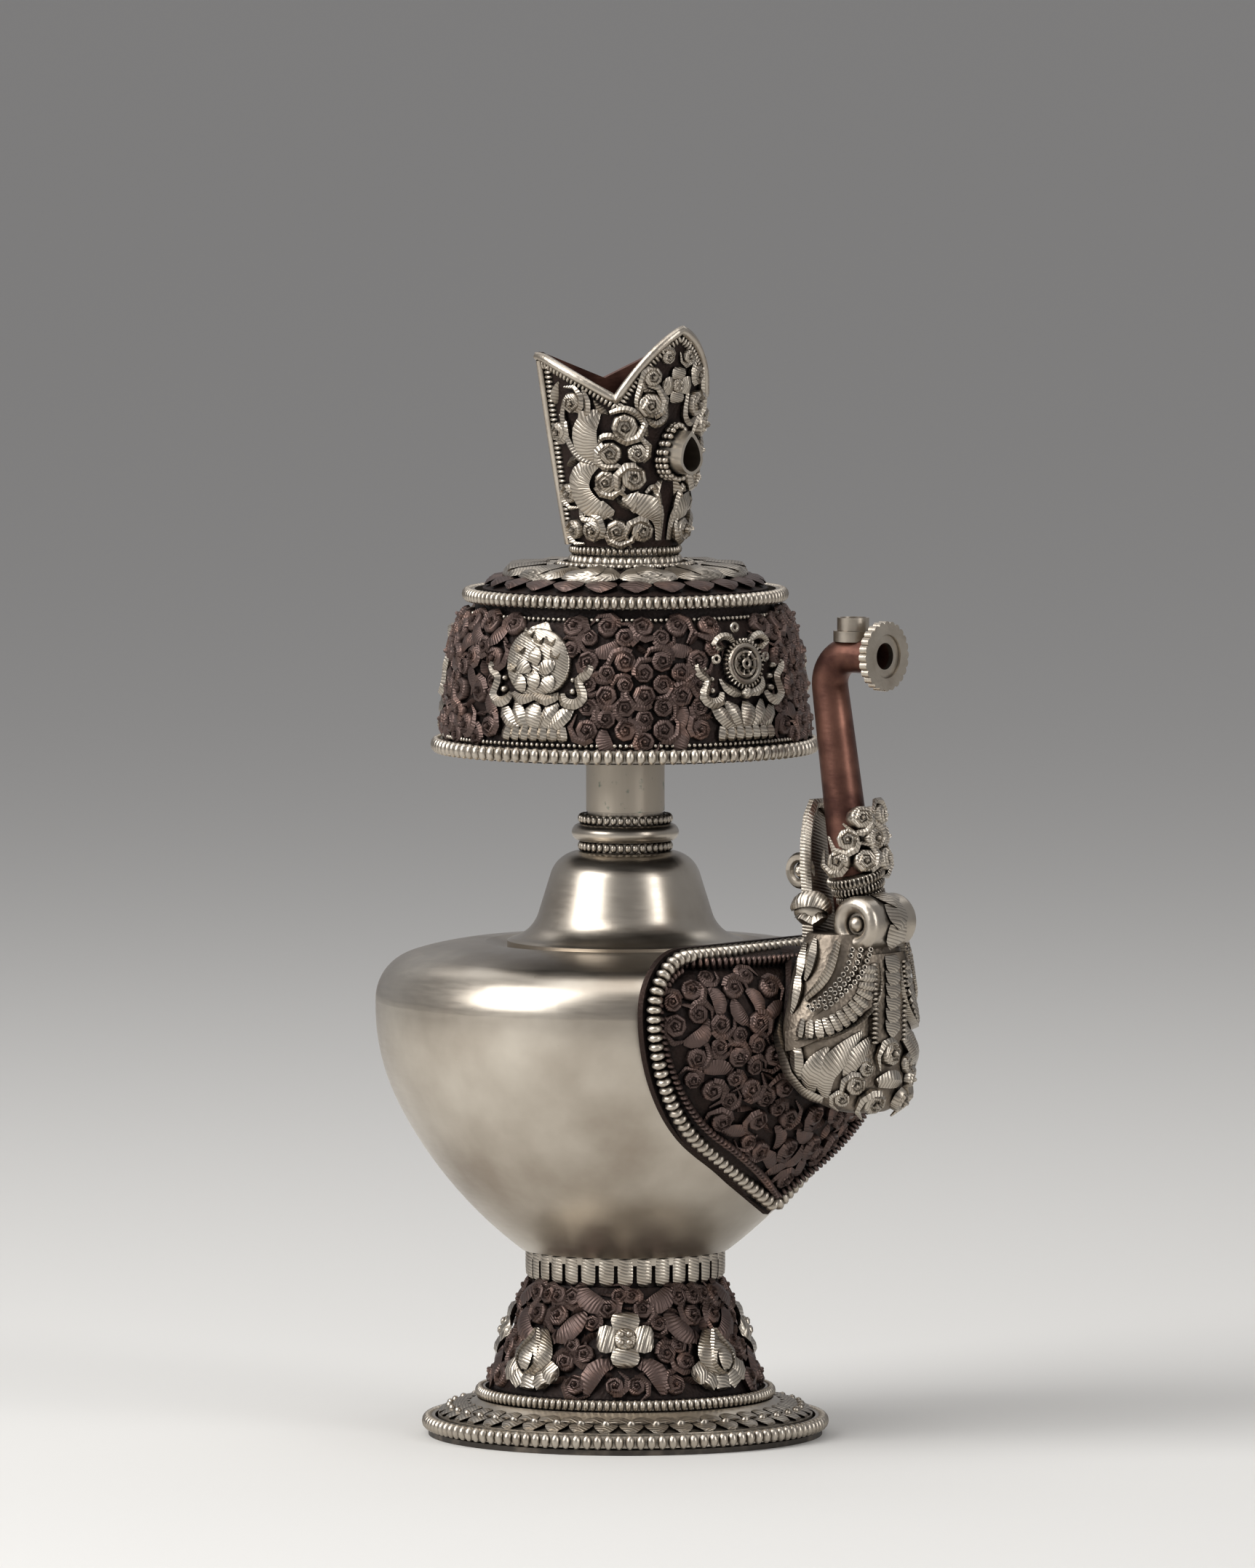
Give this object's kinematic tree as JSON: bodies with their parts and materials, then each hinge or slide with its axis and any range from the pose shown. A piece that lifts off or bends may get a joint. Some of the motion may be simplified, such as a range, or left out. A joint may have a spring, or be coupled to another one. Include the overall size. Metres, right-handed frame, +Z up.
{
  "type": "ritual water vase",
  "caption": "Ritual spouted water vase with a bulbous footed body, a sea-monster spout with a rising tube, and a hat-shaped lid with an open feather holder that lifts out and turns.",
  "frame": {"origin": "centre of the foot's underside, on the table", "axes": "+X towards the spout, +Z up along the vase's axis"},
  "size_m": [0.1121, 0.0942, 0.2099],
  "materials": {
    "silver": "worn hand-chased silver",
    "dark_copper": "oxidised copper relief",
    "red_copper": "toned red-brown copper",
    "dull_silver": "dull silver with tarnish",
    "pale_brass": "bare brazed metal"
  },
  "bodies": {
    "vessel": {"bezel_collar": "silver", "foot_base": "red_copper", "foot_blossom_1": "silver", "foot_blossom_2": "silver", "foot_blossom_3": "silver", "foot_blossom_4": "silver", "foot_bud_1": "silver", "foot_bud_2": "silver", "foot_bud_3": "silver", "foot_bud_4": "silver", "foot_cone": "red_copper", "foot_petal_collar": "silver", "foot_rim_beads": "silver", "foot_ring_beads": "silver", "foot_skirt": "silver", "makara_flowers": "silver", "makara_head": "silver", "makara_jaw": "silver", "makara_snout": "silver", "neck_lower_beads": "dark_copper", "neck_ring": "silver", "neck_upper_beads": "silver", "plaque_border": "silver", "plaque_scrolls": "dark_copper", "shoulder_bell": "silver", "spout_bezel": "red_copper", "spout_frill": "silver", "spout_plaque": "dark_copper", "spout_root": "pale_brass", "spout_rosette": "red_copper", "spout_tube": "red_copper", "vessel_body": "silver"},
    "plug": {"plug_tube": "dull_silver"},
    "lid": {"finial_back": "red_copper", "finial_beads": "silver", "finial_bezel": "silver", "finial_bezel_beads": "silver", "finial_front": "silver", "finial_ring": "silver", "lid_crown_beads": "silver", "lid_emblem_1": "silver", "lid_emblem_2": "silver", "lid_emblem_3": "silver", "lid_emblem_4": "silver", "lid_emblem_5": "silver", "lid_leaves": "dark_copper", "lid_petals": "silver", "lid_rim_beads": "silver", "lid_scrolls": "dark_copper", "lid_sleeve": "dull_silver", "lid_top_beads": "silver", "lid_top_plate": "dark_copper", "lid_wall": "dark_copper"}
  },
  "joints": [
    {"name": "lid_lift", "type": "slide", "parent": "vessel", "child": "plug", "axis": [0, 0, 1], "range_m": [0, 0.04]},
    {"name": "lid_turn", "type": "hinge", "parent": "plug", "child": "lid", "pos_m": [0, 0, 0.15], "axis": [0, 0, 1], "continuous": true}
  ]
}
